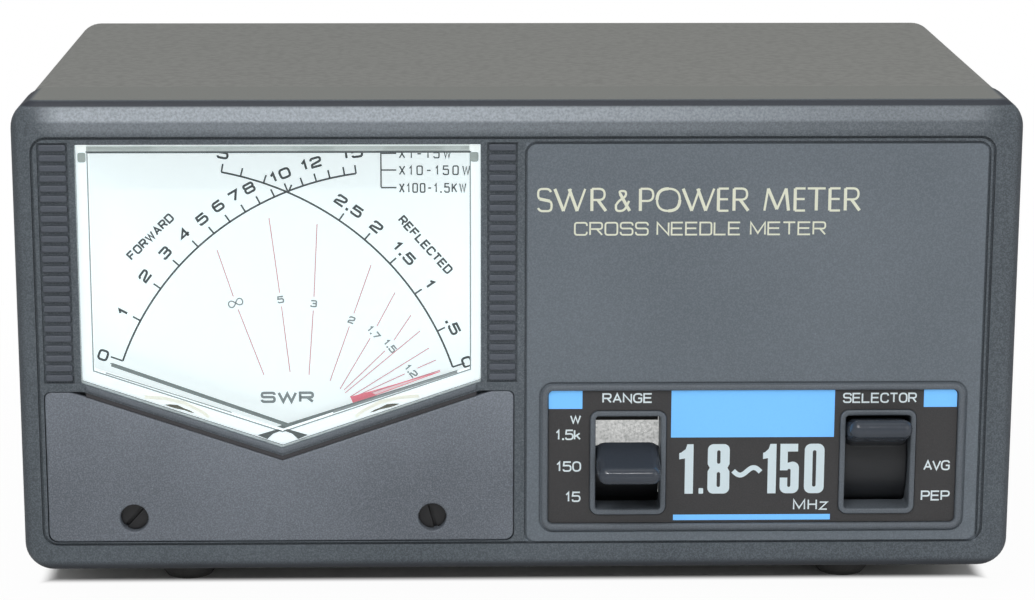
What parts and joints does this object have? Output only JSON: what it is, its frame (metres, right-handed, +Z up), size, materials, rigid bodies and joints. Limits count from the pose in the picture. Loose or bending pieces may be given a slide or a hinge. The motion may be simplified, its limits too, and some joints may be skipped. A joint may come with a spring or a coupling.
{
  "type": "cross-needle power and swr meter",
  "caption": "Bench power and standing-wave meter in a sheet-metal case: two crossing pointers behind a clear window, two tilting lever switches and coaxial sockets at the back.",
  "frame": {"origin": "middle of the footprint, at the bottom of the feet", "axes": "+X to the right seen from the front, +Y from the front to the back, +Z up"},
  "size_m": [0.155, 0.1092, 0.08],
  "materials": {
    "bezel_plastic": "fine matt texture",
    "lower_cover_plastic": "fine sparkling matt texture",
    "clear_plastic": "clear and glossy",
    "label_black": "printed matt film",
    "white_plastic": "plain",
    "dial_paint": "printed matt white",
    "needle_paint": "matt dark paint",
    "copper_wire": "enamelled wire",
    "steel": "plain",
    "brass": "plain",
    "black_steel": "black oxide",
    "magnet": "ground",
    "lamp_glass": "clear bulb",
    "board_tan": "phenolic board",
    "board_green": "printed circuit board",
    "lever_plastic": "half gloss",
    "bright_zinc": "bright zinc plate",
    "cover_paint": "leather-grained paint",
    "rubber": "plain",
    "ptfe": "plain",
    "ferrite": "sintered",
    "part_bodies": "lacquered parts",
    "trimmer_blue": "moulded",
    "part_black": "moulded"
  },
  "bodies": {
    "meter_box": {"front_bezel": "bezel_plastic", "lower_meter_cover": "lower_cover_plastic", "meter_window": "clear_plastic", "control_plate": "label_black", "meter_case": "white_plastic", "dial_plate": "dial_paint", "core_magnets": "magnet", "pole_rings": "black_steel", "front_bridges": "brass", "rear_jewels": "brass", "rear_hairsprings": "brass", "meter_terminals": "brass", "meter_screws": "steel", "meter_lamps": "lamp_glass", "lamp_board": "board_tan", "range_switch_frame": "bright_zinc", "selector_switch_frame": "bright_zinc", "lever_pins": "steel", "detent_leaves": "steel", "contact_wafers": "board_tan", "switch_board": "board_green", "board_screws": "steel", "board_resistors": "part_bodies", "board_trimmers": "trimmer_blue", "board_capacitors": "part_black", "board_chip": "part_black", "chassis": "cover_paint", "top_cover": "cover_paint", "cover_screws": "black_steel", "bezel_screws": "steel", "rubber_feet": "rubber", "foot_screws": "steel", "coupler_box": "bright_zinc", "coupler_lid": "bright_zinc", "through_line": "brass", "ferrite_toroid": "ferrite", "toroid_winding": "copper_wire", "coupler_board": "board_green", "coupler_parts": "part_bodies", "coupler_standoffs": "steel", "socket_shells": "bright_zinc", "socket_insulators": "ptfe", "socket_screws": "steel", "supply_jack": "part_black"},
    "forward_movement": {"forward_pointer": "needle_paint", "forward_coil": "copper_wire", "forward_shafts": "steel"},
    "reflected_movement": {"reflected_pointer": "needle_paint", "reflected_coil": "copper_wire", "reflected_shafts": "steel"},
    "range_switch_lever": {"range_lever": "lever_plastic", "range_wiper": "brass"},
    "selector_switch_lever": {"selector_lever": "lever_plastic", "selector_wiper": "brass"},
    "forward_adjuster": {"forward_zero_screw": "black_steel"},
    "reflected_adjuster": {"reflected_zero_screw": "black_steel"},
    "forward_arm": {"forward_zero_arm": "brass", "forward_hairspring": "brass"},
    "reflected_arm": {"reflected_zero_arm": "brass", "reflected_hairspring": "brass"}
  },
  "joints": [
    {"name": "forward_swing", "type": "hinge", "parent": "meter_box", "child": "forward_movement", "pos_m": [-0.0187, -0.0384, 0.0206], "axis": [0, 1, 0], "range_deg": [0, 62.2], "stiffness_Nm_per_rad": 0.0006},
    {"name": "reflected_swing", "type": "hinge", "parent": "meter_box", "child": "reflected_movement", "pos_m": [-0.0549, -0.0384, 0.0206], "axis": [0, -1, 0], "range_deg": [0, 61.5], "stiffness_Nm_per_rad": 0.0006},
    {"name": "range_tilt", "type": "hinge", "parent": "meter_box", "child": "range_switch_lever", "pos_m": [0.0172, -0.0376, 0.0218], "axis": [-1, 0, 0], "range_deg": [-26, 26]},
    {"name": "selector_tilt", "type": "hinge", "parent": "meter_box", "child": "selector_switch_lever", "pos_m": [0.05635, -0.0376, 0.0218], "axis": [-1, 0, 0], "range_deg": [-52, 0]},
    {"name": "forward_screw_turn", "type": "hinge", "parent": "meter_box", "child": "forward_adjuster", "pos_m": [-0.01345, -0.0464, 0.0137], "axis": [0, 1, 0], "range_deg": [-60, 60]},
    {"name": "reflected_screw_turn", "type": "hinge", "parent": "meter_box", "child": "reflected_adjuster", "pos_m": [-0.06015, -0.0464, 0.0137], "axis": [0, 1, 0], "range_deg": [-60, 60]},
    {"name": "forward_arm_turn", "type": "hinge", "parent": "meter_box", "child": "forward_arm", "pos_m": [-0.0187, -0.0441, 0.0206], "axis": [0, 1, 0], "range_deg": [-4, 4]},
    {"name": "reflected_arm_turn", "type": "hinge", "parent": "meter_box", "child": "reflected_arm", "pos_m": [-0.0549, -0.0441, 0.0206], "axis": [0, 1, 0], "range_deg": [-4, 4]}
  ],
  "couplings": [
    {"joint": "forward_arm_turn", "follows": "forward_screw_turn", "ratio": -0.0635},
    {"joint": "reflected_arm_turn", "follows": "reflected_screw_turn", "ratio": -0.0635}
  ]
}
